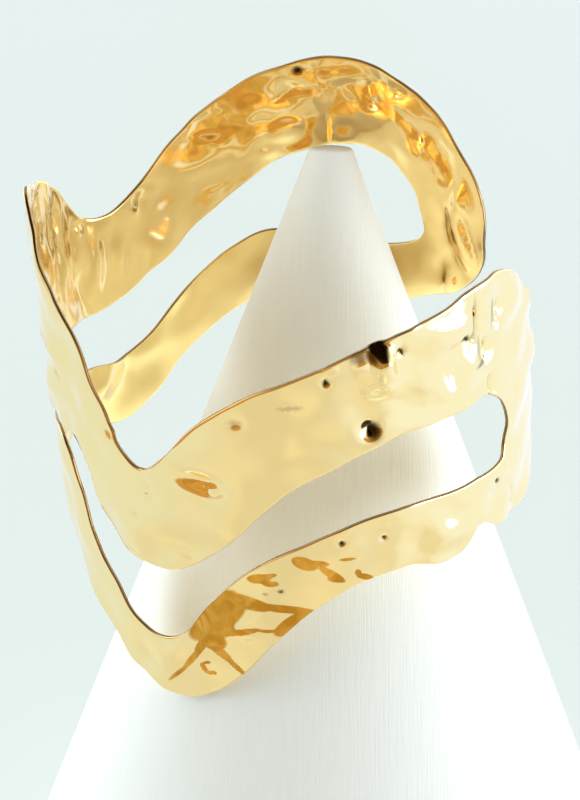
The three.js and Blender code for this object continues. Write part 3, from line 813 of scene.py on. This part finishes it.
# floor and light
studio = {
    "floorHalf": 12.0,  # m
    "floorColour": (0.655, 0.705, 0.695),
    "tent": (0.95, 1.0, 0.99),
    "tentStrength": 1.19,
    "lowGain": 0.45,  # how much brighter the tent is at the horizon than overhead
    "rightGain": 0.4,
    "leftGain": 1.0,
    "dark": (0.06, 0.03, 0.012),  # what lies behind the camera
    "darkTowards": (-0.05, -1.0, 0.5),
    "lowDark": (0.42, 0.23, 0.06),  # brown where the opening meets the table
    "darkInner": 26.0,  # degrees from its middle to where it fades, and to where it ends
    "darkOuter": 66.0,
    "keyPlace": (0.27, -0.10, 0.065),
    "keyAim": (0.0, -0.02, 0.06),
    "keySize": (0.26, 0.13),
    "keyWatts": 0.40,
    # what shows in the gold's reflections of the floor
    "paperLight": (0.94, 0.93, 0.83),
    "paperShade": (0.80, 0.80, 0.74),
    "paperBright": (0.98, 1.12, 1.42),
    "paperLeft": (0.84, 0.95, 1.05),
    "leftX": (-0.03, -0.12),
    "brightX": (0.02, 0.14),  # m, where the paper starts to brighten to the right, and where it is brightest
    "paperEdge": -0.17,  # m, the paper's front edge on the middle line
    "paperTurn": -30.0,  # degrees the edge is turned
    "edgeSoftness": 0.010,
    "tableLight": (0.78, 0.47, 0.15),
    "tableDark": (0.50, 0.27, 0.07),
}


def addFloor():
    h = studio["floorHalf"]
    floor = meshObject("paleFloor", np.array([[-h, -h, 0], [h, -h, 0], [h, h, 0], [-h, h, 0.0]]), np.array([[0, 1, 2, 3]]), False)
    material, nodes, links, shader = newMaterial("palePaper")
    shader.inputs["Base Color"].default_value = (*studio["floorColour"], 1)
    shader.inputs["Roughness"].default_value = 0.9
    shader.inputs["Specular IOR Level"].default_value = 0.1
    floor.data.materials.append(material)


def addReflected():
    # what the gold sees in the floor: warm white paper, brighter to the right, and past its front edge a brown table
    corners = np.array([[-2, -2, 0.0005], [2, -2, 0.0005], [2, 2, 0.0005], [-2, 2, 0.0005]])
    card = meshObject("reflectedTable", corners, np.array([[0, 1, 2, 3]]), False)
    material = bpy.data.materials.new("reflectedTable")
    material.use_nodes = True
    nodes, links = material.node_tree.nodes, material.node_tree.links
    nodes.clear()
    where = nodes.new("ShaderNodeTexCoord").outputs["Object"]
    turned = nodes.new("ShaderNodeMapping")  # its Y is the distance behind the paper's front edge
    turned.vector_type = "TEXTURE"
    turned.inputs["Location"].default_value = (0, studio["paperEdge"], 0)
    turned.inputs["Rotation"].default_value = (0, 0, math.radians(studio["paperTurn"]))
    links.new(where, turned.inputs["Vector"])
    axes = nodes.new("ShaderNodeSeparateXYZ")
    links.new(turned.outputs["Vector"], axes.inputs["Vector"])
    plain = nodes.new("ShaderNodeSeparateXYZ")
    links.new(where, plain.inputs["Vector"])

    def noise(scale, detail):
        node = nodes.new("ShaderNodeTexNoise")
        node.inputs["Scale"].default_value, node.inputs["Detail"].default_value = scale, detail
        links.new(where, node.inputs["Vector"])
        return node.outputs["Fac"]

    def ramp(source, fromLow, fromHigh, low, high):
        node = nodes.new("ShaderNodeMapRange")
        node.interpolation_type = "SMOOTHSTEP"
        for name, value in zip(("From Min", "From Max", "To Min", "To Max"), (fromLow, fromHigh, low, high)):
            node.inputs[name].default_value = value
        links.new(source, node.inputs["Value"])
        return node.outputs["Result"]

    def mixed(factor, one, two):
        node = nodes.new("ShaderNodeMix")
        node.data_type = "RGBA"
        for socket, value in zip((node.inputs["Factor"], node.inputs["A"], node.inputs["B"]), (factor, one, two)):
            if isinstance(value, tuple):
                socket.default_value = (*value, 1)
            else:
                links.new(value, socket)
        return node.outputs["Result"]

    paper = mixed(ramp(noise(14, 1), 0.35, 0.65, 0, 1), studio["paperShade"], studio["paperLight"])
    paper = mixed(ramp(plain.outputs["X"], *studio["brightX"], 0, 1), paper, studio["paperBright"])
    paper = mixed(ramp(plain.outputs["X"], *studio["leftX"], 0, 1), paper, studio["paperLeft"])
    table = mixed(ramp(noise(9, 2), 0.3, 0.7, 0, 1), studio["tableDark"], studio["tableLight"])
    edge = studio["edgeSoftness"]
    seen = mixed(ramp(axes.outputs["Y"], -edge, edge, 0, 1), table, paper)
    glow = nodes.new("ShaderNodeEmission")
    links.new(seen, glow.inputs["Color"])
    out = nodes.new("ShaderNodeOutputMaterial")
    links.new(glow.outputs["Emission"], out.inputs["Surface"])
    card.data.materials.append(material)
    card.visible_camera = card.visible_diffuse = card.visible_shadow = card.visible_transmission = False


def addTent():
    # pale all round, brighter low down and to the sides, with a soft dark opening where the camera stands
    world = bpy.data.worlds.new("studioTent")
    bpy.context.scene.world = world
    world.use_nodes = True
    nodes, links = world.node_tree.nodes, world.node_tree.links
    background = nodes["Background"]
    where = nodes.new("ShaderNodeTexCoord")
    axes = nodes.new("ShaderNodeSeparateXYZ")
    links.new(where.outputs["Generated"], axes.inputs["Vector"])

    def ramp(source, low, high, gain):
        # 0 at low, gain at high, smooth between
        node = nodes.new("ShaderNodeMapRange")
        node.interpolation_type = "SMOOTHSTEP"
        node.inputs["From Min"].default_value, node.inputs["From Max"].default_value = low, high
        node.inputs["To Max"].default_value = gain
        links.new(source, node.inputs["Value"])
        return node.outputs["Result"]

    def combine(operation, one, two):
        node = nodes.new("ShaderNodeMath")
        node.operation = operation
        for socket, value in zip(node.inputs, (one, two)):
            if isinstance(value, (int, float)):
                socket.default_value = value
            else:
                links.new(value, socket)
        return node.outputs["Value"]

    low = ramp(axes.outputs["Z"], 0.8, 0.0, studio["lowGain"])
    right = ramp(axes.outputs["X"], 0.1, 0.9, studio["rightGain"])
    left = ramp(axes.outputs["X"], -0.1, -0.9, studio["leftGain"])
    seen = nodes.new("ShaderNodeLightPath").outputs["Is Camera Ray"]
    unseen = combine("SUBTRACT", 1, seen)
    gain = combine("MULTIPLY", unseen, combine("ADD", low, combine("ADD", right, left)))
    strength = combine("MULTIPLY", combine("ADD", gain, 1), studio["tentStrength"])
    dot = nodes.new("ShaderNodeVectorMath")
    dot.operation = "DOT_PRODUCT"
    dot.inputs[1].default_value = unit(np.array(studio["darkTowards"]))
    links.new(where.outputs["Generated"], dot.inputs[0])
    edges = [math.cos(math.radians(studio[name])) for name in ("darkOuter", "darkInner")]
    hidden = combine("MULTIPLY", ramp(dot.outputs["Value"], *edges, 1), unseen)
    mix = nodes.new("ShaderNodeMix")
    mix.data_type = "RGBA"
    mix.inputs["A"].default_value = (*studio["tent"], 1)
    brown = nodes.new("ShaderNodeMix")
    brown.data_type = "RGBA"
    brown.inputs["A"].default_value = (*studio["dark"], 1)
    brown.inputs["B"].default_value = (*studio["lowDark"], 1)
    links.new(ramp(axes.outputs["Z"], 0.2, 0.05, 1), brown.inputs["Factor"])
    links.new(brown.outputs["Result"], mix.inputs["B"])
    links.new(hidden, mix.inputs["Factor"])
    links.new(mix.outputs["Result"], background.inputs["Color"])
    links.new(strength, background.inputs["Strength"])


def addKey(*lit):
    # a softbox standing at the right, for the object alone: the floor keeps its even tone
    data = bpy.data.lights.new("keySoftbox", "AREA")
    data.shape = "RECTANGLE"
    data.size, data.size_y = studio["keySize"]
    data.energy = studio["keyWatts"]
    key = bpy.data.objects.new("keySoftbox", data)
    bpy.context.scene.collection.objects.link(key)
    place = np.array(studio["keyPlace"])
    ahead = unit(np.array(studio["keyAim"]) - place)
    right = unit(np.cross(ahead, [0, 0, 1.0]))
    up = np.cross(right, ahead)
    rows = [[right[i], up[i], -ahead[i], place[i]] for i in range(3)]
    key.matrix_world = Matrix([*rows, [0, 0, 0, 1]])
    receivers = bpy.data.collections.new("litByKey")
    for piece in lit:
        receivers.objects.link(piece)
    key.light_linking.receiver_collection = receivers


bpy.context.scene.view_settings.view_transform = "Standard"  # as a plain product photograph is shown
addFloor()
addReflected()
addTent()
addKey(cuffPiece, conePiece)
print("studio lit")
